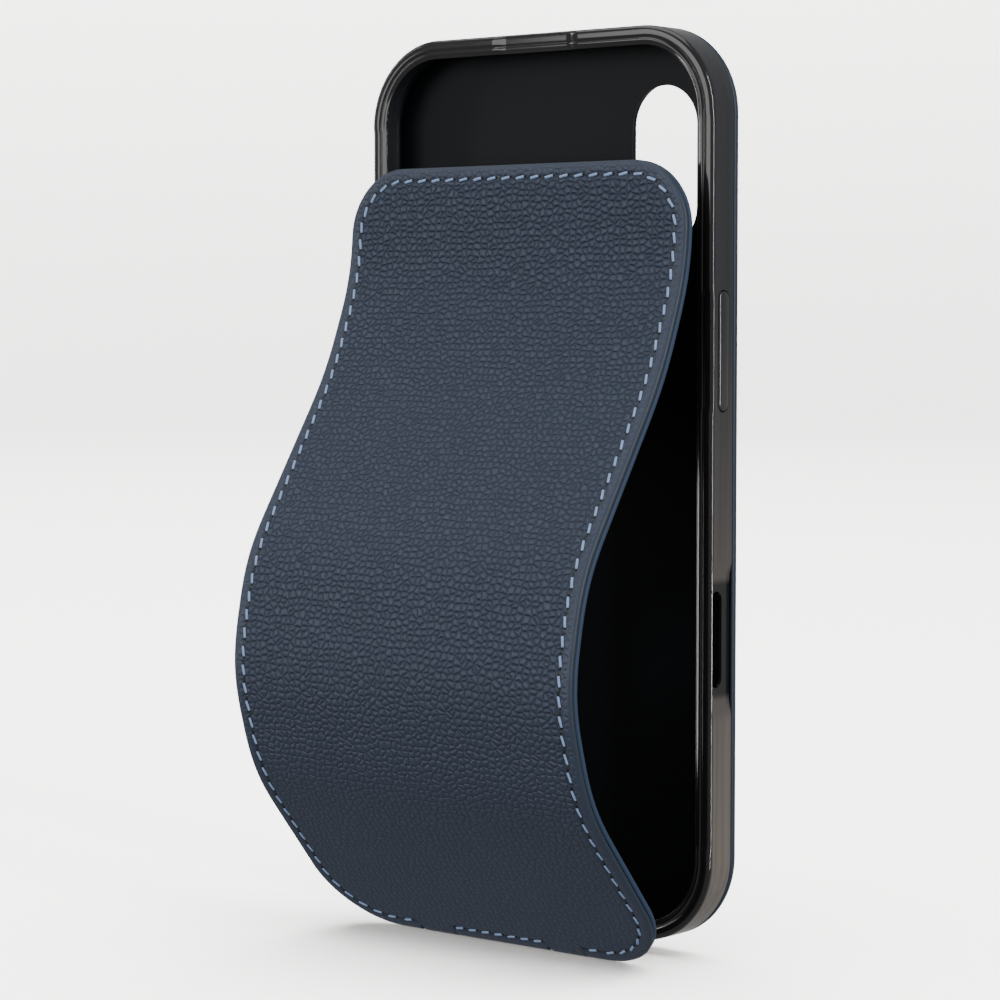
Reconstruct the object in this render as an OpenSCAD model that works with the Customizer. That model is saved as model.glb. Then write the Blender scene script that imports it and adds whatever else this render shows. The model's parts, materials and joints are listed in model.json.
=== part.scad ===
// Slim flip case for a phone: a smoked rubber tray with a leather back panel, two leather
// tongues that fold round its bottom edge, and a soft leather flap that opens downwards.
// The case stands on its tongues with the flap bowed out in front of it.
// X is right, Y runs from the front to the back, Z is up and the ground is z = 0.

/* [Tray] */
// Width of the tray
case_w = 77.4; // [72:0.2:82]
// Height of the tray
case_h = 159; // [150:0.5:170]
// Outer radius of the tray's corners
corner_r = 15.4; // [13:0.2:17]
// Thickness of the side walls
wall_t = 1.35; // [1.2:0.05:1.8]
// Thickness of the floor behind the phone
floor_t = 0.5; // [0.5:0.1:1]
// Depth of the space for the phone
bay_d = 5.5; // [5.4:0.1:9]
// Thickness of the lip that holds the phone in
lip_t = 0.7; // [0.6:0.1:1]
// How far the lip slopes back towards the phone
lip_slope = 0.3; // [0:0.1:0.4]
// Width of the lip, from the tray's outer face
lip_w = 3.4; // [3:0.1:4]
// Radius of the front edge
front_edge_r = 1; // [0.6:0.1:1.2]
// Radius of the back edge
back_edge_r = 0.7; // [0.4:0.1:1]

/* [Lip steps] */
// How much lower the lip is on the sides than at the corners
side_lip_drop = 0.2; // [0.1:0.05:0.3]
// How much lower the lip is at the earpiece and at the power button
relief_drop = 0.4; // [0.3:0.05:0.5]
// Length of the thicker lip at the top corners, down from the top
top_lip_len = 15.6; // [15.6:0.2:24]
// Length of the thicker lip at the bottom corners, up from the bottom
bottom_lip_len = 17.6; // [15.6:0.2:20]
// Width of the earpiece relief
earpiece_w = 17; // [12:1:24]

/* [Openings] */
// Width of the camera opening
camera_w = 14; // [12:1:20]
// Height of the camera opening
camera_h = 28; // [24:1:36]
// Sideways place of the camera opening
camera_x = 24; // [20:1:26]
// Camera opening's centre, down from the top edge
camera_drop = 24; // [22:0.5:28]
// Width of the charging port's slot
port_w = 13; // [11:0.5:14]
// Height of the charging port's slot
port_h = 4.4; // [4.2:0.1:4.6]
// Width of each speaker slot
speaker_w = 8; // [6:0.5:10]
// Height of each speaker slot
speaker_h = 1.8; // [1.4:0.1:2.4]
// Distance of each speaker slot from the middle
speaker_x = 24; // [22:0.5:26]
// Length of the window in the right wall
window_len = 20; // [18:0.5:24]
// Height of the window in the right wall
window_h = 4.4; // [4.2:0.1:4.6]
// How far the scoop reaches past each end of the window
scoop_reach = 3.8; // [2:0.1:4]
// Depth of the scoop round the window
scoop_depth = 0.6; // [0.3:0.1:0.8]
// Window's centre, down from the top edge
window_drop = 105.5; // [100:0.5:115]

/* [Button pads] */
// Width of each pad
pad_w = 2.8; // [2.4:0.1:3.4]
// How far a pad stands out of the wall
pad_proud = 0.45; // [0.3:0.05:0.6]
// Gap round a pad
pad_gap = 0.2; // [0.15:0.05:0.3]
// Length of the power pad
power_len = 20.5; // [16:0.5:22]
// Power pad's centre, down from the top edge
power_drop = 56; // [50:0.2:65]
// Length of each volume pad
volume_len = 10.5; // [8:0.5:12]
// Upper volume pad's centre, down from the top edge
volume_up_drop = 48; // [46:0.5:52]
// Lower volume pad's centre, down from the top edge
volume_down_drop = 62; // [60:0.5:68]
// Length of the action pad
action_len = 6; // [5:0.5:8]
// Action pad's centre, down from the top edge
action_drop = 34; // [30:0.5:38]

/* [Leather] */
// Thickness of the outer leather
leather_t = 1.1; // [0.9:0.1:1.3]
// Thickness of the lining
lining_t = 1.1; // [0.8:0.1:1.3]
// Thickness of the stiffener behind the back leather
stiffener_t = 0.4; // [0.2:0.1:0.5]
// How far the back leather stays inside the tray's outline
back_inset = 0.3; // [0.2:0.1:0.6]

/* [Flap] */
// Width of the flap
flap_w = 76; // [74:0.2:77]
// Length of a short section of the soft flap, from fold to fold; a long one is twice this
section_len = 19.2; // [19:0.1:19.5]
// Gap between two sections
section_gap = 0.7; // [0.6:0.1:1]
// Gap at the fold between the tongues and the flap
fold_gap = 1.7; // [1.6:0.1:2]
// How far the flap's lower edge reaches past the fold, between and beside the tongues
foot_reach = 0.4; // [0.2:0.1:0.5]
// Gap beside a tongue where it passes the flap's lower edge
notch_gap = 0.4; // [0.3:0.1:0.6]
// Radius of the flap's free corners
top_corner_r = 12; // [10:0.5:14]
// Radius of the flap's lower corners
bottom_corner_r = 14.5; // [12:0.5:16]
// Forward lean of the flap as it rises from the ground
rise_lean = 39.5; // [38:0.5:40]
// Backward lean of the flap above its bulge
back_lean = 35.5; // [35:0.5:36]
// Length along the flap at which the bulge starts
bulge_start = 29.5; // [28:0.5:30]
// Length along the flap at which the bulge ends
bulge_end = 84; // [83:0.5:85]
// Length along the flap at which it starts to straighten up
curl_start = 112.5; // [112:0.5:113]
// Length along the flap at which it stands straight
curl_end = 147; // [146:0.5:148]
// Gap between the flap's free end and the lip as it stands
rest_gap = 0.4; // [0.3:0.1:0.8]
// Gap between the closed flap and the lip
closed_gap = 0.3; // [0.3:0.1:0.5]

/* [Tongues] */
// Width of each tongue
tongue_w = 8.2; // [7:0.2:8.6]
// Distance of each tongue from the middle
tongue_x = 14.7; // [14:0.1:16]
// Gap between the tray and the tongues under it
foot_gap = 0.3; // [0.2:0.1:0.5]
// Gap between each fold line and the leather under the tray
spine_gap = 1.4; // [1.3:0.1:1.6]
// Gap between the front fold line and the leather on each side of it
front_gap = 1.25; // [1.2:0.05:1.5]

/* [Stitching] */
// Stitches along one side of a short section
section_stitches = 6; // [6:1:7]
// Length of one stitch
stitch_len = 2.2; // [1.8:0.1:2.4]
// Width of the thread
thread_w = 0.5; // [0.4:0.05:0.7]
// How far a stitch stands out of the leather
thread_h = 0.2; // [0.1:0.05:0.3]
// Distance of the stitches from the edge
stitch_inset = 2.4; // [2:0.1:3]

/* [Closure] */
// Diameter of each magnet in the flap's free end
magnet_d = 7; // [5:0.5:8]
// Thickness of each magnet
magnet_t = 0.5; // [0.4:0.1:0.8]
// Distance of each magnet from the middle
magnet_x = 22; // [18:1:26]

/* [Hidden] */
$fn = 48;
// The soft flap in sections: two short ones at each bend, and a long one on each straight run
SPANS = [2, 1, 1, 2, 1, 1];
last = len(SPANS);
path_steps = 160;
SECTIONS = [for (i = [1:last]) i];

tray_d = floor_t + bay_d + lip_t;
flap_t = leather_t + lining_t;
base_z = flap_t + foot_gap;
fold_z = flap_t / 2;
stitch_pitch = section_len / section_stitches;
phone_mid = floor_t + bay_d / 2;
nose_r = (lip_t - lip_slope) / 2;

// Forward lean of the flap at a length s along it: straight, a bulge, straight back, straight up
function lean(s) =
    s < bulge_start ? rise_lean :
    s < bulge_end ? rise_lean - (rise_lean + back_lean) * (s - bulge_start) / (bulge_end - bulge_start) :
    s < curl_start ? -back_lean :
    s < curl_end ? -back_lean * (curl_end - s) / (curl_end - curl_start) :
    0;
function total(v, k = 0) = k == len(v) ? 0 : v[k] + total(v, k + 1);
// Length along the flap at which section i ends, and the forward reach and height gained by there
function end_at(i) = section_len * total([for (k = [0:i]) k == 0 ? 0 : SPANS[k - 1]]);
function leans(i) = [for (k = [0.5:path_steps]) lean(end_at(i) * k / path_steps)];
function reach(i) = end_at(i) / path_steps * total([for (a = leans(i)) sin(a)]);
function rise(i) = end_at(i) / path_steps * total([for (a = leans(i)) cos(a)]);
// A section runs straight from one fold to the next: its length and its forward lean
function span(i) = norm([reach(i) - reach(i - 1), rise(i) - rise(i - 1)]);
function section_lean(i) = atan2(reach(i) - reach(i - 1), rise(i) - rise(i - 1));

// Fold lines, measured back from the tray's front face: under its back edge, in front of it,
// and where the flap begins. The tongues are as long as puts the flap's free end on the lip.
spine_fold = tray_d + stiffener_t + leather_t / 2;
front_fold = -(closed_gap + flap_t / 2);
tongue_len = rest_gap - closed_gap - reach(last);
flap_fold = front_fold - tongue_len;

// The tray's front face is placed so that the whole case is centred on the origin
outer_half = flap_t / 2 + thread_h;
front_most = min([for (i = SECTIONS)
    flap_fold - reach(i) + section_gap / 2 * sin(section_lean(i)) - outer_half * cos(section_lean(i))]);
back_most = tray_d + stiffener_t + leather_t + thread_h;
face_y = -(front_most + back_most) / 2;

function arc(cx, cy, r, from, to, steps = 6) =
    [for (k = [0:steps]) let (a = from + (to - from) * k / steps) [cx + r * cos(a), cy + r * sin(a)]];

module rounded_rect(w, h, r) {
    square([w - 2 * r, h], center = true);
    square([w, h - 2 * r], center = true);
    for (x = [-1, 1], y = [-1, 1])
        translate([x * (w / 2 - r), y * (h / 2 - r)]) circle(r);
}

module stadium(len, w) {
    square([w, len - w], center = true);
    for (y = [-1, 1])
        translate([0, y * (len - w) / 2]) circle(w / 2);
}

// Cross-section of the wall and lip, from the corner's centre outwards and from the back forwards
module rim_section() {
    polygon(concat(
        [[corner_r - wall_t, 0]],
        arc(corner_r - back_edge_r, back_edge_r, back_edge_r, -90, 0),
        arc(corner_r - front_edge_r, tray_d - front_edge_r, front_edge_r, 0, 90),
        arc(corner_r - lip_w + nose_r, tray_d - lip_slope - nose_r, nose_r, 90, 270),
        [[corner_r - wall_t, tray_d - lip_t]]
    ));
}

module rim() {
    for (turn = [0, 90, 180, 270]) {
        across = turn % 180 == 0 ? case_w / 2 : case_h / 2;
        along = turn % 180 == 0 ? case_h - 2 * corner_r : case_w - 2 * corner_r;
        rotate([0, 0, turn]) translate([across - corner_r, along / 2, 0])
            rotate([90, 0, 0]) linear_extrude(along) rim_section();
        rotate([0, 0, turn]) translate([across - corner_r, along / 2, 0])
            rotate_extrude(angle = 90) rim_section();
    }
}

// Lays flat geometry, drawn with its back down, against the back of the tray and stands it up
module stand(depth_behind = 0) {
    translate([0, face_y + tray_d + depth_behind, base_z + case_h / 2]) rotate([90, 0, 0]) children();
}

// A stadium-shaped hole or pad in a side wall; side is 1 on the right and -1 on the left
module side_shape(side, drop, len, w, from_outer, depth) {
    translate([side * (case_w / 2 - from_outer), case_h / 2 - drop, phone_mid])
        rotate([0, side * 90, 0]) linear_extrude(depth) stadium(len, w);
}

module lip_steps() {
    side_mid = (bottom_lip_len - top_lip_len) / 2;
    side_len = case_h - top_lip_len - bottom_lip_len;
    for (x = [-1, 1])
        translate([x * case_w / 2, side_mid, tray_d]) cube([2 * lip_w + 2, side_len, 2 * side_lip_drop], center = true);
    translate([case_w / 2, case_h / 2 - power_drop, tray_d])
        cube([2 * lip_w + 2, power_len, 2 * relief_drop], center = true);
    translate([0, case_h / 2, tray_d]) cube([earpiece_w, 2 * lip_w + 2, 2 * relief_drop], center = true);
}

module bottom_slots() {
    translate([0, -case_h / 2, phone_mid]) rotate([90, 90, 0])
        linear_extrude(2 * lip_w + 2, center = true) stadium(port_w, port_h);
    for (x = [-1, 1])
        translate([x * speaker_x, -case_h / 2, phone_mid]) rotate([90, 90, 0])
            linear_extrude(2 * lip_w + 2, center = true) stadium(speaker_w, speaker_h);
}

module camera_hole(margin, depth) {
    translate([camera_x, case_h / 2 - camera_drop, -1])
        linear_extrude(depth + 2) stadium(camera_h + 2 * margin, camera_w + 2 * margin);
}

module tray() {
    through = 2 * wall_t + 2;
    color([0.2, 0.2, 0.21, 0.9]) stand() difference() {
        union() {
            rim();
            linear_extrude(floor_t)
                rounded_rect(case_w - 2 * back_edge_r - 0.6, case_h - 2 * back_edge_r - 0.6, corner_r - back_edge_r - 0.3);
        }
        lip_steps();
        camera_hole(0, floor_t);
        bottom_slots();
        side_shape(1, window_drop, window_len, window_h, wall_t + 1, through);
        side_shape(1, window_drop, window_len + 2 * scoop_reach, window_h + 0.8, scoop_depth, 2);
        side_shape(1, power_drop, power_len + 2 * pad_gap, pad_w + 2 * pad_gap, wall_t + 1, through);
        side_shape(-1, volume_up_drop, volume_len + 2 * pad_gap, pad_w + 2 * pad_gap, wall_t + 1, through);
        side_shape(-1, volume_down_drop, volume_len + 2 * pad_gap, pad_w + 2 * pad_gap, wall_t + 1, through);
        side_shape(-1, action_drop, action_len + 2 * pad_gap, pad_w + 2 * pad_gap, wall_t + 1, through);
    }
}

module pad(side, drop, len) {
    color([0.24, 0.24, 0.25, 0.9]) stand() side_shape(side, drop, len, pad_w, wall_t, wall_t + pad_proud);
}

module power_pad() {
    pad(1, power_drop, power_len);
}

module volume_up_pad() {
    pad(-1, volume_up_drop, volume_len);
}

module volume_down_pad() {
    pad(-1, volume_down_drop, volume_len);
}

module action_pad() {
    pad(-1, action_drop, action_len);
}

module back_outline(inset) {
    rounded_rect(case_w - 2 * inset, case_h - 2 * inset, corner_r - inset);
}

module back_stiffener() {
    color([0.12, 0.13, 0.15]) stand(stiffener_t) difference() {
        linear_extrude(stiffener_t) back_outline(back_inset + 0.8);
        camera_hole(0.2, stiffener_t);
    }
}

module back_leather() {
    color([0.2, 0.25, 0.33]) stand(stiffener_t + leather_t) difference() {
        linear_extrude(leather_t) back_outline(back_inset);
        camera_hole(0.4, leather_t);
    }
}

// One stitch lying flat on the face z = 0, its length along y before it is turned
module stitch(x, y, turn) {
    translate([x, y, 0]) rotate([0, 0, turn]) translate([-thread_w / 2, -stitch_len / 2, 0])
        cube([thread_w, stitch_len, thread_h]);
}

// Stitches round a rounded corner whose centre is at [x, y], starting at an angle of from
module corner_stitches(x, y, r, from) {
    n = round(r * PI / 2 / stitch_pitch);
    for (k = [0:n - 1]) {
        a = from + 90 * (k + 0.5) / n;
        stitch(x + r * cos(a), y + r * sin(a), a);
    }
}

// A straight row of stitches along x or y, centred on [x, y]
module stitch_row(x, y, len, turn) {
    n = round(len / stitch_pitch);
    for (k = [0:n - 1]) {
        d = (k + 0.5 - n / 2) * len / n;
        stitch(x + (turn == 90 ? d : 0), y + (turn == 0 ? d : 0), turn);
    }
}

module back_thread() {
    w = case_w / 2 - back_inset - stitch_inset;
    h = case_h / 2 - back_inset - stitch_inset;
    r = corner_r - back_inset - stitch_inset;
    color([0.5, 0.62, 0.78]) stand(back_most - tray_d) {
        for (x = [-1, 1]) stitch_row(x * w, 0, 2 * (h - r), 0);
        stitch_row(0, h, 2 * (w - r), 90);
        stitch_row(0, -h, 2 * (tongue_x - tongue_w / 2), 90);
        corner_stitches(w - r, h - r, r, 0);
        corner_stitches(r - w, h - r, r, 90);
        corner_stitches(r - w, r - h, r, 180);
        corner_stitches(w - r, r - h, r, 270);
    }
}

// Puts a slab on its fold line: [0, 0, 0] is the fold, z runs along the leather away from it,
// x is the same as the case's, and -y faces outwards before the slab is leant forward
module hang(y, z, angle) {
    translate([0, face_y + y, z]) rotate([angle, 0, 0]) children();
}

module tongue_pair(from, to, layer_y, layer_t) {
    for (x = [-1, 1])
        translate([x * tongue_x - tongue_w / 2, layer_y, from]) cube([tongue_w, layer_t, to - from]);
}

module spine_leather() {
    color([0.17, 0.21, 0.28]) hang(spine_fold, fold_z, 90)
        tongue_pair(spine_gap, spine_fold - front_fold - front_gap, -flap_t / 2, leather_t);
}

module spine_lining() {
    color([0.1, 0.12, 0.16]) hang(spine_fold, fold_z, 90)
        tongue_pair(spine_gap, spine_fold - front_fold - front_gap, -flap_t / 2 + leather_t, lining_t);
}

module tongue_leather() {
    color([0.17, 0.21, 0.28]) hang(front_fold, fold_z, 90)
        tongue_pair(front_gap, tongue_len - fold_gap / 2, -flap_t / 2, leather_t);
}

module tongue_lining() {
    color([0.1, 0.12, 0.16]) hang(front_fold, fold_z, 90)
        tongue_pair(front_gap, tongue_len - fold_gap / 2, -flap_t / 2 + leather_t, lining_t);
}

// Length of the flap from its lower fold to the end of section i, as it lies flat
function run_to(i) = total([for (k = [0:i]) k == 0 ? 0 : span(k)]);
function section_start(i) = i == 1 ? -foot_reach : section_gap / 2;
function section_end(i) = i == last ? span(i) : span(i) - section_gap / 2;

module on_section(i) {
    hang(flap_fold - reach(i - 1), fold_z + rise(i - 1), section_lean(i)) children();
}

// Flat outline of the whole flap from its foot up, with section i at its own place on it
module flap_outline(i) {
    low = -foot_reach - run_to(i - 1);
    high = run_to(last) - run_to(i - 1);
    low_mid = flap_w / 2 - bottom_corner_r;
    top_mid = flap_w / 2 - top_corner_r;
    difference() {
        union() {
            translate([-flap_w / 2, low + bottom_corner_r])
                square([flap_w, high - low - bottom_corner_r - top_corner_r]);
            translate([-low_mid, low]) square([2 * low_mid, 2 * bottom_corner_r]);
            translate([-top_mid, high - 2 * top_corner_r]) square([2 * top_mid, 2 * top_corner_r]);
            for (x = [-1, 1]) {
                translate([x * low_mid, low + bottom_corner_r]) circle(bottom_corner_r);
                translate([x * top_mid, high - top_corner_r]) circle(top_corner_r);
            }
        }
        for (x = [-1, 1])
            translate([x * tongue_x - tongue_w / 2 - notch_gap, low - 1])
                square([tongue_w + 2 * notch_gap, foot_reach + fold_gap / 2 + 1]);
    }
}

// A layer of section i, from its outer face at layer_y inwards
module section_layer(i, layer_y, layer_t) {
    on_section(i) translate([0, layer_y + layer_t, 0]) rotate([90, 0, 0]) linear_extrude(layer_t)
        intersection() {
            flap_outline(i);
            translate([-case_w / 2, section_start(i)]) square([case_w, section_end(i) - section_start(i)]);
        }
}

module magnet_pockets(depth) {
    on_section(last)
        for (x = [-1, 1])
            translate([x * magnet_x, leather_t - flap_t / 2, span(last) - top_corner_r])
                rotate([-90, 0, 0]) cylinder(d = magnet_d, h = depth);
}

module flap_leather(i) {
    color([0.2, 0.25, 0.33]) section_layer(i, -flap_t / 2, leather_t);
}

module flap_lining(i) {
    color([0.1, 0.12, 0.16])
        if (i == last) {
            difference() {
                section_layer(i, leather_t - flap_t / 2, lining_t);
                magnet_pockets(magnet_t);
            }
        } else {
            section_layer(i, leather_t - flap_t / 2, lining_t);
        }
}

module flap_magnets() {
    color([0.5, 0.51, 0.53]) magnet_pockets(magnet_t);
}

module flap_thread(i) {
    edge_x = flap_w / 2 - stitch_inset;
    top_r = top_corner_r - stitch_inset;
    low_r = bottom_corner_r - stitch_inset;
    from = i == 1 ? section_start(1) + bottom_corner_r : 0;
    to = i == last ? span(i) - top_corner_r : span(i);
    color([0.5, 0.62, 0.78]) on_section(i) translate([0, -flap_t / 2, 0]) rotate([90, 0, 0]) {
        for (x = [-1, 1]) stitch_row(x * edge_x, (from + to) / 2, to - from, 0);
        if (i == 1) {
            low_y = section_start(1) + stitch_inset;
            tongue_in = tongue_x - tongue_w / 2;
            tongue_out = tongue_x + tongue_w / 2;
            side_run = edge_x - low_r - tongue_out;
            corner_stitches(edge_x - low_r, low_y + low_r, low_r, 270);
            corner_stitches(low_r - edge_x, low_y + low_r, low_r, 180);
            stitch_row(0, low_y, 2 * tongue_in, 90);
            for (x = [-1, 1]) stitch_row(x * (tongue_out + side_run / 2), low_y, side_run, 90);
        }
        if (i == last) {
            corner_stitches(edge_x - top_r, to, top_r, 0);
            corner_stitches(top_r - edge_x, to, top_r, 90);
            stitch_row(0, span(i) - stitch_inset, 2 * (edge_x - top_r), 90);
        }
    }
}

tray();
power_pad();
volume_up_pad();
volume_down_pad();
action_pad();
back_stiffener();
back_leather();
back_thread();
spine_leather();
spine_lining();
tongue_leather();
tongue_lining();
for (i = SECTIONS) flap_leather(i);
for (i = SECTIONS) flap_lining(i);
for (i = SECTIONS) flap_thread(i);
flap_magnets();
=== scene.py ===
import json
import math

import bmesh
import bpy
import numpy as np
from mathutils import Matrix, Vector


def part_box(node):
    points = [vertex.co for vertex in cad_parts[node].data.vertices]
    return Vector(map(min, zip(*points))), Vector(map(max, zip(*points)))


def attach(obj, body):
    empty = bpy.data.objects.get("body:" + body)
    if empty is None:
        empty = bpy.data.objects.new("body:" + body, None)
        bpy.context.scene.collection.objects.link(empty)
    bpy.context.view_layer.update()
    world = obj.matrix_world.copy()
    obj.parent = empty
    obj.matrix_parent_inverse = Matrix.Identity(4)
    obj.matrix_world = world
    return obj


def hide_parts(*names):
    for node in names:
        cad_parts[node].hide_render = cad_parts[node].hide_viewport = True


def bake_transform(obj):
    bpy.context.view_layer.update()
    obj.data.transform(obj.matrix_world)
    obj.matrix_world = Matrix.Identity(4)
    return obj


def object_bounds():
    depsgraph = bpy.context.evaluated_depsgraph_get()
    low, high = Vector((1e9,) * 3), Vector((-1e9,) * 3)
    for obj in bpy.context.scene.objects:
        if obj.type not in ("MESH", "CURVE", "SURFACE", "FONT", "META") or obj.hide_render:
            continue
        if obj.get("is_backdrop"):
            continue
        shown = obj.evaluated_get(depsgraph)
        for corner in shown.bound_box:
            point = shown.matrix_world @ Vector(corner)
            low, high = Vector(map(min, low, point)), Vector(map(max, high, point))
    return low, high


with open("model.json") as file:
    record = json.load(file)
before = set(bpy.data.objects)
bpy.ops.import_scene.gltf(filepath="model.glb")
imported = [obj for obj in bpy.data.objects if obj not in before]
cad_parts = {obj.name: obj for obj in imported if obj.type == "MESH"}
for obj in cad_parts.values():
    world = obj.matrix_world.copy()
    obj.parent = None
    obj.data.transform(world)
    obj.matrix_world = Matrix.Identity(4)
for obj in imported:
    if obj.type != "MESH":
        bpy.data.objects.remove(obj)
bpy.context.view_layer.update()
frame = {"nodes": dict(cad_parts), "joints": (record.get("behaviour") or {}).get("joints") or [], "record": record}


# ---- Tray -------------------------------------------------------------------------------------
# The rubber tray that grips the phone, injection moulded in smoked TPU. Its rim rolls over the
# phone's edge in a thin lip, thicker at the corners, and its wall is cut for keys and sockets.
MM = 0.001
tray_low, tray_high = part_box("tray")
face_y = tray_low.y
tray_mid_z = (tray_low.z + tray_high.z) / 2
tray_half_w = (tray_high.x - tray_low.x) / 2
tray_half_h = (tray_high.z - tray_low.z) / 2
corner_r = 15.4 * MM
wall_t = 1.35 * MM
floor_back = tray_high.y - face_y
floor_front = floor_back - 0.5 * MM
phone_mid = floor_back - 3.25 * MM
camera_x = 24 * MM
camera_z = tray_high.z - 24 * MM
camera_w = 14 * MM
camera_h = 28 * MM
power_z = tray_high.z - 56 * MM
window_z = tray_high.z - 105.5 * MM


def outline_stations(half_w, half_h, radius, step):
    """Stations round an upright rounded rectangle: the centre of curvature of each and its outward
    normal. A side moves the centre, a corner turns the normal."""
    quarter = max(int(radius * math.pi / 2 / step), 24)
    turns = np.arange(4) * math.pi / 2
    signs = np.array([[1, 1], [-1, 1], [-1, -1], [1, -1]])
    inner = np.array([half_w - radius, half_h - radius])
    centres, normals = [], []
    for turn, sign in zip(turns, signs):
        angle = turn + np.linspace(0, math.pi / 2, quarter + 1)
        normals.append(np.column_stack([np.cos(angle), np.sin(angle)]))
        centres.append(np.repeat([sign * inner], quarter + 1, axis=0))
        side = 2 * inner[0] if abs(math.sin(turn + math.pi / 2)) > 0.5 else 2 * inner[1]
        n = max(int(side / step), 2)
        t = np.linspace(0, 1, n + 1)[1:-1, None]
        following = signs[(list(map(tuple, signs)).index(tuple(sign)) + 1) % 4]
        centres.append((1 - t) * sign * inner + t * following * inner)
        normals.append(np.repeat([normals[-1][-1]], n - 1, axis=0))
    centres, normals = np.concatenate(centres), np.concatenate(normals)
    return centres, normals


def window_edge(centres, normals, radius, middle, width, height):
    """For each station, the point of a stadium-shaped window that lies in the same direction from
    the window's middle: out along the ray until it meets the straight side or the end circle."""
    ray = centres + radius * normals - middle
    ray /= np.linalg.norm(ray, axis=1)[:, None]
    r, rise = width / 2, (height - width) / 2
    side = r / np.maximum(np.abs(ray[:, 0]), 1e-9)
    along = rise * np.abs(ray[:, 1])
    end = along + np.sqrt(np.maximum(along**2 - rise**2 + r**2, 0))
    reach = np.where(side * np.abs(ray[:, 1]) <= rise, side, end)
    return middle + ray * reach[:, None], ray


def smooth_step(x, start, end):
    """0 before start, 1 after end, and a cubic ease between them."""
    t = np.clip((x - start) / (end - start), 0, 1)
    return t * t * (3 - 2 * t)


def arc(cx, cy, r, start, end, steps):
    """Points of a circular arc, its angles in degrees."""
    a = np.radians(np.linspace(start, end, steps + 1))
    return np.column_stack([cx + r * np.cos(a), cy + r * np.sin(a)])


def closed_grid(rows, columns):
    """Quads of a grid that closes on itself both ways, as a ring does."""
    a = np.arange(rows * columns).reshape(rows, columns)
    b, c, d = np.roll(a, -1, 0), np.roll(np.roll(a, -1, 0), -1, 1), np.roll(a, -1, 1)
    return np.stack([a, b, c, d], -1).reshape(-1, 4)


def piece_from(name, points, faces, material, uv=None, attributes=None, sharp=40):
    """Makes an object of the points and faces, smooth except over edges sharper than sharp
    degrees, with its outside out. uv holds one place in metres for each point."""
    mesh = bpy.data.meshes.new(name)
    mesh.from_pydata(points.tolist(), [], faces.tolist())
    for key, values in (attributes or {}).items():
        mesh.attributes.new(key, "FLOAT", "POINT").data.foreach_set("value", values.astype(np.float32))
    if uv is not None:
        corner = np.empty(len(mesh.loops), np.int32)
        mesh.loops.foreach_get("vertex_index", corner)
        mesh.uv_layers.new(name="leather").data.foreach_set("uv", uv[corner].astype(np.float32).ravel())
    work = bmesh.new()
    work.from_mesh(mesh)
    bmesh.ops.remove_doubles(work, verts=work.verts, dist=1e-7)
    bmesh.ops.recalc_face_normals(work, faces=work.faces)
    work.to_mesh(mesh)
    work.free()
    mesh.polygons.foreach_set("use_smooth", np.ones(len(mesh.polygons), bool))
    mesh.set_sharp_from_angle(angle=math.radians(sharp))
    mesh.materials.append(material)
    made = bpy.data.objects.new(name, mesh)
    bpy.context.scene.collection.objects.link(made)
    return made


def srgb(hex_colour, alpha=1.0):
    """Linear RGBA of an sRGB hex colour."""
    c = np.array([int(hex_colour[i : i + 2], 16) / 255 for i in (1, 3, 5)])
    lin = np.where(c <= 0.04045, c / 12.92, ((c + 0.055) / 1.055) ** 2.4)
    return (*lin.tolist(), alpha)


def start_material(name):
    """A new material that uses nodes, with its node tree and its shader."""
    made = bpy.data.materials.new(name)
    made.use_nodes = True
    return made, made.node_tree, made.node_tree.nodes["Principled BSDF"]


def add(tree, kind, inputs=None, **settings):
    """Adds a node with its settings, and fills or links its inputs."""
    made = tree.nodes.new("ShaderNode" + kind)
    for key, value in settings.items():
        setattr(made, key, value)
    for key, value in (inputs or {}).items():
        if isinstance(value, bpy.types.NodeSocket):
            tree.links.new(value, made.inputs[key])
        else:
            made.inputs[key].default_value = value
    return made


# Smoked TPU: a grey-brown tint all through a clear rubber, satin from a spark-textured mould. Painted light and
# shade: light getting into its edges is painted as a lighter tone low on the wall, the lip and upper wall darker
# as shade; where leather or board backs it, it looks near black.
smoked_tpu, tree, shader = start_material("smoked_tpu")
place = add(tree, "TexCoord")
split = add(tree, "SeparateXYZ", {0: place.outputs["Object"]})
# Painted light and shade: the lip and the wall each get their own tone, set for how light falls on them.
thin = add(tree, "MapRange", {"Value": split.outputs["Y"], "From Min": face_y + 0.55 * MM,
                              "From Max": face_y + 1.1 * MM})
spark = add(tree, "TexNoise", {"Vector": place.outputs["Object"], "Scale": 4200.0, "Detail": 3.0})
cloud = add(tree, "TexNoise", {"Vector": place.outputs["Object"], "Scale": 60.0, "Detail": 2.0})
lip_shade_tone = add(tree, "Mix", {"Factor": cloud.outputs["Fac"], "A": srgb("#171619"), "B": srgb("#222021")},
               data_type="RGBA")
drawn = add(tree, "Mapping", {"Vector": place.outputs["Object"], "Scale": (900, 900, 12)})
streaks = add(tree, "TexNoise", {"Vector": drawn.outputs["Vector"], "Scale": 1.0, "Detail": 3.0})
# Painted light: the wall is painted much lighter towards its foot, as light shining through the rubber; higher up
# it is painted darker, as shade.
lower = add(tree, "MapRange", {"Value": split.outputs["Z"], "From Min": 0.11, "From Max": 0.02})
shaded_high_wall = add(tree, "Mix", {"Factor": streaks.outputs["Fac"], "A": srgb("#1d1f23"), "B": srgb("#2d2f33")},
                data_type="RGBA")
lit_low_wall = add(tree, "Mix", {"Factor": streaks.outputs["Fac"], "A": srgb("#524c48"), "B": srgb("#756e68")},
               data_type="RGBA")
wall_light_and_shade = add(tree, "Mix", {"Factor": lower.outputs["Result"], "A": shaded_high_wall.outputs["Result"],
                              "B": lit_low_wall.outputs["Result"]}, data_type="RGBA")
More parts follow.
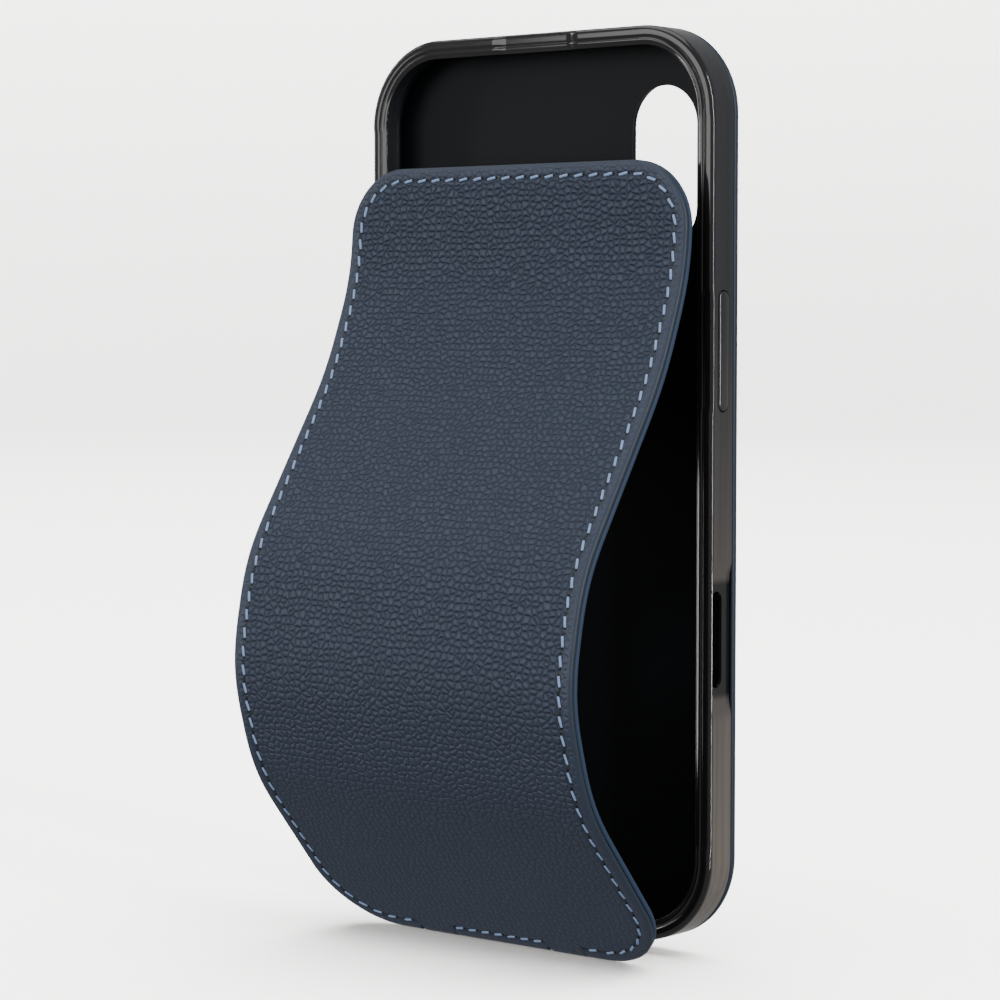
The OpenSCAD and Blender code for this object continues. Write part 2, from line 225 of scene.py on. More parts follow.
# The recess round the side window lies in its own shade, and the ramps at its ends let light in
from_window = add(tree, "Math", {0: split.outputs["Z"], 1: window_z}, operation="SUBTRACT")
from_window = add(tree, "Math", {0: from_window.outputs["Value"]}, operation="ABSOLUTE")
ramp_in = add(tree, "MapRange", {"Value": from_window.outputs["Value"], "From Min": 14.6 * MM,
                                 "From Max": 12.0 * MM}, interpolation_type="SMOOTHSTEP")
recess = add(tree, "MapRange", {"Value": from_window.outputs["Value"], "From Min": 10.8 * MM,
                                "From Max": 9.2 * MM}, interpolation_type="SMOOTHSTEP")
on_right = add(tree, "MapRange", {"Value": split.outputs["X"], "From Min": 30 * MM, "From Max": 31 * MM})
ramp_in = add(tree, "Math", {0: ramp_in.outputs["Result"], 1: on_right.outputs["Result"]},
              operation="MULTIPLY")
recess = add(tree, "Math", {0: recess.outputs["Result"], 1: on_right.outputs["Result"]},
             operation="MULTIPLY")
wall_light_and_shade = add(tree, "Mix", {"Factor": ramp_in.outputs["Value"], "A": wall_light_and_shade.outputs["Result"],
                              "B": srgb("#4e4a47")}, data_type="RGBA")
wall_light_and_shade = add(tree, "Mix", {"Factor": recess.outputs["Value"], "A": wall_light_and_shade.outputs["Result"],
                              "B": srgb("#1d1d20")}, data_type="RGBA")
tint = add(tree, "Mix", {"Factor": thin.outputs["Result"], "A": lip_shade_tone.outputs["Result"],
                         "B": wall_light_and_shade.outputs["Result"]}, data_type="RGBA")
satin = add(tree, "MapRange", {"Value": spark.outputs["Fac"], "To Min": 0.07, "To Max": 0.15})
relief = add(tree, "Bump", {"Height": spark.outputs["Fac"], "Strength": 0.05, "Distance": 0.00002})
tree.links.new(tint.outputs["Result"], shader.inputs["Base Color"])
tree.links.new(satin.outputs["Result"], shader.inputs["Roughness"])
tree.links.new(relief.outputs["Normal"], shader.inputs["Normal"])
shader.inputs["IOR"].default_value = 1.5

# The same rubber where the board backs it: the floor of the bay, matt and near black.
backed_tpu, tree, shader = start_material("smoked_tpu_on_board")
place = add(tree, "TexCoord")
matt = add(tree, "TexNoise", {"Vector": place.outputs["Object"], "Scale": 1500.0, "Detail": 4.0})
tone = add(tree, "Mix", {"Factor": matt.outputs["Fac"], "A": srgb("#080b0f"), "B": srgb("#0d1014")},
           data_type="RGBA")
rough = add(tree, "MapRange", {"Value": matt.outputs["Fac"], "To Min": 0.42, "To Max": 0.58})
tree.links.new(tone.outputs["Result"], shader.inputs["Base Color"])
tree.links.new(rough.outputs["Result"], shader.inputs["Roughness"])
shader.inputs["Specular IOR Level"].default_value = 0.12

centres, normals = outline_stations(tray_half_w, tray_half_h, corner_r, 0.75 * MM)
hole, hole_out = window_edge(centres, normals, corner_r, np.array([camera_x, camera_z - tray_mid_z]),
                             camera_w, camera_h)
# The section from the window's edge out over the floor, up the wall, round the lip, down the
# outside and back under the floor: share of the way out, distance past the window, radius, depth
lip_w = 3.4 * MM
nose = 0.2 * MM
wall_in = corner_r - wall_t
section = [(0, 0.05 * MM, 0, floor_front), (0, 0.6 * MM, 0, floor_front)]
section += [(w, 0.6 * MM, wall_in - 0.9 * MM, floor_front) for w in (0.33, 0.67)]
section += [(1, 0, wall_in - 0.8 * MM, floor_front)]
section += [(1, 0, r, y) for r, y in arc(wall_in - 0.7 * MM, floor_front - 0.7 * MM, 0.7 * MM, 90, 0, 5)]
section += [(1, 0, wall_in, y * MM) for y in (4.6, 3.6, 2.6, 1.6, 1.1)]
section += [(1, 0, r, y) for r, y in arc(wall_in - 0.4 * MM, 1.1 * MM, 0.4 * MM, 0, -90, 4)]
section += [(1, 0, corner_r - lip_w + 0.6 * MM, 0.7 * MM)]
section += [(1, 0, r, y) for r, y in arc(corner_r - lip_w + nose, 0.5 * MM, nose, 90, 270, 8)]
bead = [(2.95, 0.2), (2.72, 0.09), (2.55, 0.04), (2.4, 0.04), (2.27, 0.1), (2.16, 0.2), (2.05, 0.24),
        (1.94, 0.2), (1.83, 0.09), (1.7, 0.03), (1.5, 0), (1.25, 0)]
section += [(1, 0, corner_r - inset * MM, depth * MM) for inset, depth in bead]
section += [(1, 0, r, y) for r, y in arc(corner_r - 1.0 * MM, 1.0 * MM, 1.0 * MM, -90, 0, 9)]
section += [(1, 0, corner_r, y * MM) for y in np.linspace(1.25, 5.75, 19)]
section += [(1, 0, r, y) for r, y in arc(corner_r - 0.7 * MM, floor_back - 0.7 * MM, 0.7 * MM, 0, 90, 6)]
section += [(w, 0.6 * MM, wall_in, floor_back) for w in (0.95, 0.66, 0.33)]
section += [(0, 0.6 * MM, 0, floor_back), (0, 0.05 * MM, 0, floor_back)]
section += [(0, 0, 0, floor_back - 0.05 * MM), (0, 0, 0, floor_front + 0.05 * MM)]
share, past, radius, depth_y = np.array(section).T
flat = (1 - share)[None, :, None] * (hole[:, None] + past[None, :, None] * hole_out[:, None])
flat = flat + share[None, :, None] * (centres[:, None] + radius[None, :, None] * normals[:, None])
x, z = flat[..., 0], flat[..., 1] + tray_mid_z
y = np.broadcast_to(depth_y, x.shape).copy()
# The lip is lower along the sides, and lower again at the earpiece and the power key
along_side = smooth_step(z, tray_low.z + 16.6 * MM, tray_low.z + 18.2 * MM)
along_side = along_side * smooth_step(-z, -tray_high.z + 15.2 * MM, -tray_high.z + 16.6 * MM)
drop = 0.2 * MM * along_side
key_relief = smooth_step(10.9 * MM - np.abs(z - power_z), 0, 1.2 * MM) * (x > 0)
ear_relief = smooth_step(8.9 * MM - np.abs(x), 0, 1.2 * MM) * (z > tray_high.z - 8 * MM)
drop = np.maximum(drop, 0.4 * MM * np.maximum(key_relief, ear_relief))
y += drop * np.clip(1 - y / (1.0 * MM), 0, 1) * (share > 0.99)
# The wall is scooped out round the side window, with a ramp at each end
scoop = smooth_step(14.0 * MM - np.abs(z - window_z), 0, 3.6 * MM)
scoop = scoop * smooth_step(y, 0.7 * MM, 1.3 * MM)
x = np.minimum(x, tray_half_w - 0.85 * MM * scoop)
points = np.stack([x, y + face_y, z], -1).reshape(-1, 3)
tray = piece_from("tray_shell", points, closed_grid(*x.shape), smoked_tpu, sharp=38)
tray.data.materials.append(backed_tpu)
spots = np.empty(len(tray.data.polygons) * 3)
tray.data.polygons.foreach_get("center", spots)
facing = np.empty(len(tray.data.polygons) * 3)
tray.data.polygons.foreach_get("normal", facing)
bay_floor = (facing[1::3] < -0.3) & (spots[1::3] > face_y + 5.5 * MM)
tray.data.polygons.foreach_set("material_index", bay_floor.astype(np.int32))


def stadium_prism(length, width, low, high, middle, axes, steps=16):
    """A closed prism whose section is a stadium: two half circles joined by straight sides, run
    from low to high. axes gives the unit vectors of its length, its width and its depth."""
    a = np.linspace(0, math.pi, steps + 1)
    r, rise = width / 2, (length - width) / 2
    half = np.column_stack([rise + r * np.sin(a), r * np.cos(a)])
    ring = np.concatenate([half, -half])
    n = len(ring)
    solid = np.concatenate([np.column_stack([ring, np.full(n, end)]) for end in (low, high)])
    k = np.arange(n)
    walls = np.column_stack([k, (k + 1) % n, (k + 1) % n + n, k + n]).tolist()
    return np.array(middle) + solid @ np.array(axes), walls + [k[::-1].tolist(), (k + n).tolist()]


up, right, back = (0, 0, 1), (1, 0, 0), (0, 1, 0)
gap = 0.2 * MM
pad_w = 2.8 * MM
keys = {
    "power_pad": (1, 56, 20.5, "power_button"),
    "volume_up_pad": (-1, 48, 10.5, "volume_up_button"),
    "volume_down_pad": (-1, 62, 10.5, "volume_down_button"),
    "action_pad": (-1, 34, 6, "action_button"),
}
cuts = [stadium_prism(length * MM + 2 * gap, pad_w + 2 * gap, -3 * MM, 3 * MM,
                      (side * tray_half_w, face_y + phone_mid, tray_high.z - drop_mm * MM),
                      (up, back, right))
        for side, drop_mm, length, body in keys.values()]
cuts.append(stadium_prism(16.7 * MM, 3.2 * MM, -3 * MM, 3 * MM,
                          (tray_half_w, face_y + phone_mid - 0.6 * MM, window_z), (up, back, right)))
cuts.append(stadium_prism(13 * MM, 4.4 * MM, -4 * MM, 4 * MM, (0, face_y + phone_mid, tray_low.z),
                          (right, back, up)))
cuts += [stadium_prism(8 * MM, 1.8 * MM, -4 * MM, 4 * MM, (sx * 24 * MM, face_y + phone_mid, tray_low.z),
                       (right, back, up)) for sx in (-1, 1)]
cutter_mesh = bpy.data.meshes.new("tray_cuts")
start, all_points, all_faces = 0, [], []
for solid, faces in cuts:
    all_points += solid.tolist()
    all_faces += [[i + start for i in face] for face in faces]
    start = len(all_points)
cutter_mesh.from_pydata(all_points, [], all_faces)
work = bmesh.new()
work.from_mesh(cutter_mesh)
bmesh.ops.recalc_face_normals(work, faces=work.faces)
work.to_mesh(cutter_mesh)
work.free()
cutter = bpy.data.objects.new("tray_cuts", cutter_mesh)
bpy.context.scene.collection.objects.link(cutter)
cut = tray.modifiers.new("openings", "BOOLEAN")
cut.operation, cut.solver, cut.object = "DIFFERENCE", "EXACT", cutter
bpy.context.view_layer.update()
carved = bpy.data.meshes.new_from_object(tray.evaluated_get(bpy.context.evaluated_depsgraph_get()))
tray.modifiers.clear()
tray.data = carved
carved.name = "tray_shell"
carved.set_sharp_from_angle(angle=math.radians(38))
bpy.data.objects.remove(cutter)
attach(tray, "case")
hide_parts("tray")


# ---- Key pads ---------------------------------------------------------------------------------
# Raised rubber pads over the phone's keys, moulded with the tray and pressed in a hair's breadth.
# Each is a stadium with a soft crown and a rolled edge.
pad_out = 0.45 * MM
for name, (side, drop_mm, length, body) in keys.items():
    a = np.linspace(0, math.pi, 17)
    r, rise = pad_w / 2, (length * MM - pad_w) / 2
    arc_side = np.column_stack([np.sin(a), np.cos(a)])
    out_way = np.concatenate([arc_side, -arc_side])
    middle_line = np.concatenate([np.repeat([[rise, 0]], 17, 0), np.repeat([[-rise, 0]], 17, 0)])
    # share of the way out from the middle line, and height over the wall's face
    crown = np.array([(0, pad_out), (0.3, pad_out - 0.01 * MM), (0.55, pad_out - 0.05 * MM),
                      (0.74, pad_out - 0.12 * MM), (0.87, pad_out - 0.22 * MM), (0.96, pad_out - 0.34 * MM),
                      (1, pad_out - 0.5 * MM), (1, -wall_t), (0, -wall_t)])
    ring = middle_line[None] + crown[:, :1, None] * r * out_way[None]
    height = np.repeat(crown[:, 1:], len(out_way), 1)
    points = np.stack([side * (tray_half_w + height), face_y + phone_mid + ring[..., 1],
                       tray_high.z - drop_mm * MM + ring[..., 0]], -1)
    quads = closed_grid(*height.shape)[: -len(out_way)]
    pad = piece_from(name + "_crowned", points.reshape(-1, 3), quads, smoked_tpu, sharp=50)
    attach(pad, body)
    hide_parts(name)


# ---- Back panel -------------------------------------------------------------------------------
# A board stiffener and a pebbled calf panel, glued to the tray's back and sewn round the edge.
# The leather's edge is turned, creased by the sewing and painted; it opens round the camera.

# Pebbled calf: drum-dyed navy, grain raised by milling so that it stands in cells about 1.4 mm wide with
# creases between that are painted darker as shade, rubbed smooth and a little glossier near sewn edges.
navy_leather, tree, shader = start_material("navy_pebbled_calf")
place = add(tree, "UVMap", uv_map="leather")
in_mm = add(tree, "Mapping", {"Vector": place.outputs["UV"], "Scale": (1000, 1150, 1000)})
sway = add(tree, "TexNoise", {"Vector": in_mm.outputs["Vector"], "Scale": 0.55, "Detail": 2.0})
bent = add(tree, "VectorMath", {0: sway.outputs["Color"], 1: (0.5, 0.5, 0.5)}, operation="SUBTRACT")
bent = add(tree, "VectorMath", {0: bent.outputs["Vector"], 1: (0.55, 0.55, 0), 2: in_mm.outputs["Vector"]},
           operation="MULTIPLY_ADD")
cells = add(tree, "TexVoronoi", {"Vector": bent.outputs["Vector"], "Scale": 0.74, "Randomness": 0.75},
            feature="DISTANCE_TO_EDGE", voronoi_dimensions="2D")
crease = add(tree, "MapRange", {"Value": cells.outputs["Distance"], "From Max": 0.3},
             interpolation_type="SMOOTHSTEP")
dome = add(tree, "MapRange", {"Value": cells.outputs["Distance"], "From Max": 0.5},
           interpolation_type="SMOOTHSTEP")
pores = add(tree, "TexNoise", {"Vector": in_mm.outputs["Vector"], "Scale": 3.2, "Detail": 4.0})
patches = add(tree, "TexNoise", {"Vector": in_mm.outputs["Vector"], "Scale": 0.05, "Detail": 3.0})
grain = add(tree, "Attribute", attribute_name="grain")
rim = add(tree, "Attribute", attribute_name="rim")
height = add(tree, "Math", {0: dome.outputs["Result"], 1: 0.8, 2: crease.outputs["Result"]},
             operation="MULTIPLY_ADD")
height = add(tree, "Math", {0: height.outputs["Value"], 1: grain.outputs["Fac"]}, operation="MULTIPLY")
height = add(tree, "Math", {0: pores.outputs["Fac"], 1: 0.22, 2: height.outputs["Value"]},
             operation="MULTIPLY_ADD")
relief = add(tree, "Bump", {"Height": height.outputs["Value"], "Strength": 1.0, "Distance": 0.0002})
# Painted shade: the creases between the pebbles are painted darker, as the shade that lies in them; the same mask
# makes them rougher.
crease_shade_and_roughness = add(tree, "Math", {0: 1.0, 1: crease.outputs["Result"]}, operation="SUBTRACT")
crease_shade_and_roughness = add(tree, "Math", {0: crease_shade_and_roughness.outputs["Value"], 1: grain.outputs["Fac"]}, operation="MULTIPLY")
body_tone = add(tree, "Mix", {"Factor": patches.outputs["Fac"], "A": srgb("#293244"), "B": srgb("#303a4c")},
                data_type="RGBA")
creased = add(tree, "Mix", {"Factor": crease_shade_and_roughness.outputs["Value"], "A": body_tone.outputs["Result"],
                            "B": srgb("#212b3d")}, data_type="RGBA")
# Painted shade: along the sewing line the leather is painted near black, as the shade in the stitch groove and
# between the stitches.
sewing_shade = add(tree, "Attribute", attribute_name="sewing_shade")
sewing_shaded = add(tree, "Mix", {"Factor": sewing_shade.outputs["Fac"], "A": creased.outputs["Result"],
                            "B": srgb("#10151e")}, data_type="RGBA")
painted = add(tree, "Mix", {"Factor": rim.outputs["Fac"], "A": sewing_shaded.outputs["Result"],
                            "B": srgb("#28323f")}, data_type="RGBA")
gloss = add(tree, "Mix", {"Factor": crease_shade_and_roughness.outputs["Value"], "A": 0.47, "B": 0.7}, data_type="FLOAT")
tree.links.new(painted.outputs["Result"], shader.inputs["Base Color"])
tree.links.new(gloss.outputs["Result"], shader.inputs["Roughness"])
tree.links.new(relief.outputs["Normal"], shader.inputs["Normal"])
shader.inputs["IOR"].default_value = 1.46
shader.inputs["Specular IOR Level"].default_value = 0.42

back_inner = tray_high.y + 0.4 * MM
back_inset = 0.3 * MM
sew_in = 2.4 * MM
panel_r = corner_r - back_inset
centres, normals = outline_stations(tray_half_w - back_inset, tray_half_h - back_inset, panel_r, 1.0 * MM)
hole, hole_out = window_edge(centres, normals, panel_r, np.array([camera_x, camera_z - tray_mid_z]),
                             camera_w + 0.8 * MM, camera_h + 0.8 * MM)
# share of the way out, distance past the window, radius, depth, nearness to a painted edge
t = 1.1 * MM
section = [(0, 0, 0, t / 2, 1), (0, 0.08 * MM, 0, 0.85 * t, 1), (0, 0.3 * MM, 0, 0.97 * t, 0.6)]
section += [(0, 0.7 * MM, 0, t, 0), (0, 1.4 * MM, 0, t, 0)]
section += [(w, 1.4 * MM, panel_r - 5 * MM, t, 0) for w in np.linspace(0.1, 0.98, 12)]
edge_profile = [(4.2, 1, 0), (3.4, 1, 0), (2.9, 0.97, 0), (2.6, 0.92, 0), (2.4, 0.89, 0), (2.2, 0.92, 0),
                (1.9, 0.98, 0), (1.3, 1.03, 0), (0.8, 1.02, 0), (0.35, 0.95, 0.2), (0.05, 0.82, 0.7),
                (-0.15, 0.64, 1), (-0.27, 0.4, 1), (-0.3, 0.12, 1), (-0.27, -0.12, 1), (-0.15, -0.3, 1),
                (0.05, -0.4, 1), (0.25, -0.38, 1), (0.6, 0, 1)]
section += [(1, 0, panel_r - inset * MM, h * t, paint) for inset, h, paint in edge_profile]
section += [(w, 0.5 * MM, panel_r - 1.5 * MM, 0, 0) for w in (0.9, 0.5, 0.1)]
section += [(0, 0.3 * MM, 0, 0, 1), (0, 0.05 * MM, 0, 0.12 * t, 1)]
share, past, radius, out, paint = np.array(section).T
flat = (1 - share)[None, :, None] * (hole[:, None] + past[None, :, None] * hole_out[:, None])
flat = flat + share[None, :, None] * (centres[:, None] + radius[None, :, None] * normals[:, None])
x, z = flat[..., 0], flat[..., 1] + tray_mid_z
points = np.stack([x, np.broadcast_to(back_inner + out, x.shape), z], -1).reshape(-1, 3)
from_edge = np.where(share > 0.99, panel_r - radius, 6 * MM)
grain_here = np.broadcast_to(smooth_step(from_edge, 1.2 * MM, 3.4 * MM), x.shape)
paint = np.broadcast_to(paint, x.shape)
# Where the painted shade along the sewing line falls.
sewing_shade_here = 0.8 * np.exp(-(((from_edge - sew_in) / (0.3 * MM)) ** 2))
panel = piece_from("back_panel", points, closed_grid(*x.shape), navy_leather,
                   uv=np.column_stack([x.ravel() + 0.3, z.ravel() + 0.3]),
                   attributes={"grain": 0.9 * grain_here.ravel(), "rim": paint.ravel(),
                               "sewing_shade": np.broadcast_to(sewing_shade_here, x.shape).ravel()}, sharp=60)
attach(panel, "case")
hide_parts("back_leather")

# Stiffener board: black fibre board, calendered, with a faint fibre mottle.
board, tree, shader = start_material("black_fibre_board")
place = add(tree, "TexCoord")
fibres = add(tree, "TexNoise", {"Vector": place.outputs["Object"], "Scale": 900.0, "Detail": 5.0})
tone = add(tree, "Mix", {"Factor": fibres.outputs["Fac"], "A": srgb("#121214"), "B": srgb("#232326")},
           data_type="RGBA")
relief = add(tree, "Bump", {"Height": fibres.outputs["Fac"], "Strength": 0.3, "Distance": 0.00004})
tree.links.new(tone.outputs["Result"], shader.inputs["Base Color"])
tree.links.new(relief.outputs["Normal"], shader.inputs["Normal"])
shader.inputs["Roughness"].default_value = 0.8
frame["nodes"]["back_stiffener"].data.materials.clear()
frame["nodes"]["back_stiffener"].data.materials.append(board)

# Waxed thread: three-ply polyester, twisted, light steel blue with a soft wax shine.
waxed_thread, tree, shader = start_material("waxed_thread")
place = add(tree, "UVMap", uv_map="leather")
plies = add(tree, "TexWave", {"Vector": place.outputs["UV"], "Scale": 1.1, "Distortion": 0.4},
            bands_direction="DIAGONAL")
ply_tone = add(tree, "Mix", {"Factor": plies.outputs["Fac"], "A": srgb("#647ca3"), "B": srgb("#a2b8dc")},
               data_type="RGBA")
run = add(tree, "SeparateXYZ", {0: place.outputs["UV"]})
off_middle = add(tree, "Math", {0: run.outputs["X"]}, operation="ABSOLUTE")
# Painted shade: the thread's ends are painted near black, as the shade in its needle holes.
hole_shade = add(tree, "MapRange", {"Value": off_middle.outputs["Value"], "From Min": 1.75, "From Max": 2.05})
shade = add(tree, "Mix", {"Factor": hole_shade.outputs["Result"], "A": ply_tone.outputs["Result"],
                          "B": srgb("#05080c")}, data_type="RGBA")
relief = add(tree, "Bump", {"Height": plies.outputs["Fac"], "Strength": 0.6, "Distance": 0.00005})
tree.links.new(shade.outputs["Result"], shader.inputs["Base Color"])
tree.links.new(relief.outputs["Normal"], shader.inputs["Normal"])
shader.inputs["Roughness"].default_value = 0.55
shader.inputs["Specular IOR Level"].default_value = 0.25

stitch_len = 2.9 * MM
stitch_half_w = 0.26 * MM
stitch_pitch = 3.2 * MM
slant = math.radians(11)


def stitches(name, middle, along, outward):
    """One small bent capsule for each stitch. Round and along it: the half width shrinks towards
    the ends as the root of 1 - t^4, and the thread sinks at the ends as t^4, into its holes."""
    across = np.cross(outward, along)
    c, s = math.cos(slant), math.sin(slant)
    along, across = along * c + across * s, across * c - along * s
    t = np.linspace(-1, 1, 9)
    a = np.linspace(0, 2 * math.pi, 9)[:-1]
    width = stitch_half_w * np.sqrt(np.maximum(1 - t**4, 0))
    length = np.repeat((t * stitch_len / 2)[:, None], 8, 1)
    side = width[:, None] * np.cos(a)
    rise = 0.75 * width[:, None] * np.sin(a) + (0.06 * MM - 0.15 * MM * t**4)[:, None]
    one = np.stack([length, side, rise], -1).reshape(-1, 3)
    axes = np.stack([along, across, outward], 1)
    points = middle[:, None] + np.einsum("pk,nkc->npc", one, axes)
    k = np.arange(9 * 8).reshape(9, 8)
    turn = np.roll(k, -1, 1)
    quads = np.stack([k[:-1], k[1:], turn[1:], turn[:-1]], -1).reshape(-1, 4)
    faces = (quads[None] + (np.arange(len(middle)) * 72)[:, None, None]).reshape(-1, 4)
    twist = np.column_stack([np.repeat(t * 3, 8), np.tile(np.arange(8) / 8 * 3, 9)])
    return piece_from(name, points.reshape(-1, 3), faces, waxed_thread,
                      uv=np.tile(twist, (len(middle), 1)), sharp=180)


strap_half = 4.1 * MM
tongue_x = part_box("tongue_leather")[1].x - strap_half
sewn_r = panel_r - sew_in
row_centres, row_normals = outline_stations(tray_half_w - back_inset, tray_half_h - back_inset,
                                            panel_r, 0.2 * MM)
row = row_centres + sewn_r * row_normals
strides = np.diff(np.concatenate([row, row[:1]]), axis=0)
gone = np.concatenate([[0], np.cumsum(np.linalg.norm(strides, axis=1))])
number = round(gone[-1] / stitch_pitch)
want = (np.arange(number) + 0.5) * gone[-1] / number
pick = np.searchsorted(gone, want) % len(row)
seat = row[pick]
over_tongue = np.abs(np.abs(seat[:, 0]) - tongue_x) < strap_half + 0.5 * MM
clear = ~((seat[:, 1] < -tray_half_h + 6 * MM) & over_tongue)
seat, face = seat[clear], row_normals[pick][clear]
nought = np.zeros(len(seat))
thread_y = back_inner + 0.9 * t + 0.04 * MM
middle = np.column_stack([seat[:, 0], nought + thread_y, seat[:, 1] + tray_mid_z])
along = np.column_stack([-face[:, 1], nought, face[:, 0]])
outward = np.column_stack([nought, nought + 1, nought])
back_stitches = stitches("back_stitches", middle, along, outward)
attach(back_stitches, "case")
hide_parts("back_thread")


# ---- Tongues ----------------------------------------------------------------------------------
# Two straps cut in one with the flap and the back panel, calf outside and lining inside. They
# pass under the tray as the hinge, and the case stands on them.

# Lining: smooth navy calf, skived thin and pressed, nearly black in the shade.
lining, tree, shader = start_material("smooth_navy_lining")
place = add(tree, "UVMap", uv_map="leather")
in_mm = add(tree, "Mapping", {"Vector": place.outputs["UV"], "Scale": (1000, 1000, 1000)})
nap = add(tree, "TexNoise", {"Vector": in_mm.outputs["Vector"], "Scale": 2.6, "Detail": 5.0})
patches = add(tree, "TexNoise", {"Vector": in_mm.outputs["Vector"], "Scale": 0.06, "Detail": 3.0})
rim = add(tree, "Attribute", attribute_name="rim")
tone = add(tree, "Mix", {"Factor": patches.outputs["Fac"], "A": srgb("#171c25"), "B": srgb("#1e2430")},
           data_type="RGBA")
painted = add(tree, "Mix", {"Factor": rim.outputs["Fac"], "A": tone.outputs["Result"],
                            "B": srgb("#2c3d54")}, data_type="RGBA")
relief = add(tree, "Bump", {"Height": nap.outputs["Fac"], "Strength": 0.35, "Distance": 0.00006})
tree.links.new(painted.outputs["Result"], shader.inputs["Base Color"])
tree.links.new(relief.outputs["Normal"], shader.inputs["Normal"])
shader.inputs["Roughness"].default_value = 0.62
shader.inputs["Specular IOR Level"].default_value = 0.35

pressed_grain = 0.25
hinges = {j["name"]: Vector(j["pos_m"]) for j in frame["joints"] if "pos_m" in j}
fold_y, fold_z = hinges["flap_fold"].y, hinges["flap_fold"].z
layer_t = 1.1 * MM
rise_lean = math.radians(39.5)
fold_tangent = 0.85 * MM
fold_turn = math.pi / 2 - rise_lean
fold_r = fold_tangent / math.tan(fold_turn / 2)
back_arc_y = face_y + 6.25 * MM
back_arc_r = 0.85 * MM


def strap_path():
    """The line between the two layers, from the flap's notch down round the lower fold, straight
    back under the tray and up round the back fold: its points, outward normals and lengths."""
    start_arc = np.linspace(0, fold_turn, 11)
    lean = rise_lean + start_arc
    arc_mid = np.array([fold_y + fold_tangent, fold_z + fold_r])
    lower = arc_mid + fold_r * np.column_stack([-np.cos(lean), -np.sin(lean)])
    run = np.linspace(fold_y + fold_tangent, back_arc_y, 28)[1:-1]
    under = np.column_stack([run, np.full(26, fold_z)])
    turn = np.linspace(-math.pi / 2, 0, 11)
    arc_back = np.array([back_arc_y, fold_z + back_arc_r])
    behind = arc_back + back_arc_r * np.column_stack([np.cos(turn), np.sin(turn)])
    rise = np.column_stack([np.full(3, back_arc_y + back_arc_r),
                            fold_z + back_arc_r + np.array([0.35, 0.7, 1.0]) * MM])
    line = np.concatenate([lower, under, behind, rise])
    normal = np.concatenate([np.column_stack([-np.cos(lean), -np.sin(lean)]), np.tile([0, -1], (26, 1)),
                             np.column_stack([np.cos(turn), np.sin(turn)]), np.tile([1, 0], (3, 1))])
    length = np.concatenate([[0], np.cumsum(np.linalg.norm(np.diff(line, axis=0), axis=1))])
    return line, normal, length


def strap_pair(name, line, normal, length, low, high, material):
    """Two straps side by side: the section, a flat bar with rolled long edges, is carried along
    the line, each section point going out along the line's normal by its own height."""
    half, thick = strap_half, high - low
    roll = np.array([(0.6, 1), (0.3, 0.96), (0.12, 0.86), (0.02, 0.66), (0, 0.5), (0.02, 0.34), (0.12, 0.14),
                     (0.3, 0.04), (0.6, 0)])
    right_side = np.column_stack([half - roll[:, 0] * MM, low + roll[:, 1] * thick])
    inner = np.linspace(-0.8, 0.8, 7)
    bottom = np.column_stack([inner[::-1] * half, np.full(7, low)])
    left_side = right_side[::-1] * (-1, 1)
    top = np.column_stack([inner * half, np.full(7, high)])
    bar = np.concatenate([right_side, bottom, left_side, top])
    n, m = len(line), len(bar)
    sides = []
    for way in (-1, 1):
        x = np.broadcast_to(way * tongue_x + bar[:, 0], (n, m))
        yz = line[:, None] + bar[None, :, 1:] * normal[:, None]
        sides.append(np.stack([x, yz[..., 0], yz[..., 1]], -1).reshape(-1, 3))
    k = np.arange(n * m).reshape(n, m)
    turn = np.roll(k, -1, 1)
    quads = np.stack([k[:-1], k[1:], turn[1:], turn[:-1]], -1).reshape(-1, 4).tolist()
    caps = [k[0][::-1].tolist(), k[-1].tolist()]
    faces = quads + caps
    faces = faces + [[i + n * m for i in face] for face in faces]
    points = np.concatenate(sides)
    uv = np.column_stack([points[:, 0] + 0.1, np.tile(np.repeat(0.1 - length, m), 2)])
    paint = np.tile(smooth_step(np.abs(bar[:, 0]), half - 0.25 * MM, half - 0.05 * MM), 2 * n)
    grain = np.full(len(points), pressed_grain)
    mesh_faces = np.array(faces, dtype=object)
    return piece_from(name, points, mesh_faces, material, uv=uv,
                      attributes={"grain": grain, "rim": paint}, sharp=50)


line, normal, length = strap_path()
to_front = int(np.argmin(np.abs(line[:, 0] - (face_y - 4.6 * MM))))
before = np.arange(len(line)) < to_front
to_middle = int(np.argmin(np.abs(line[:, 0] - (face_y + 3.1 * MM)) + 1e3 * before))
lining_end = int(np.argmax(line[:, 0] > back_arc_y - 0.2 * MM))
layers = {"leather": (0, layer_t, navy_leather, "navy_leather"), "lining": (-layer_t, 0, lining, "lining")}
for layer, (low, high, material, slot) in layers.items():
    last = len(line) if layer == "leather" else lining_end
    fold = slice(0, to_front + 1)
    fore = slice(to_front, to_middle + 1)
    aft = slice(to_middle, last)
    lower = strap_pair(f"tongue_{layer}_fold", line[fold], normal[fold], length[fold], low, high, material)
    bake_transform(lower)
    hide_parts("tongue_" + layer)
    front = strap_pair(f"tongue_{layer}_front", line[fore], normal[fore], length[fore], low, high, material)
    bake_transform(front)
    rear = strap_pair(f"tongue_{layer}_back", line[aft], normal[aft], length[aft], low, high, material)
    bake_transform(rear)
    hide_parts("spine_" + layer)


# ---- Flap -------------------------------------------------------------------------------------
# The soft cover: pebbled calf and lining glued back to back, sewn all round and edge painted.
# It bows out from its foot and curls back to rest near the lip; magnets sit under its free end.
section_len = 19.2 * MM
flap_len = 153.6 * MM
foot = -0.4 * MM
half_w = 38 * MM
top_r = 12 * MM
low_r = 14.5 * MM
notch_in, notch_out = tongue_x - strap_half - 0.15 * MM, tongue_x + strap_half + 0.15 * MM
cuts_at = np.array([19.2, 48, 67.2, 96, 124.8, 144]) * MM

steps = np.arange(-1.0 * MM, flap_len + 0.2 * MM, 0.1 * MM)
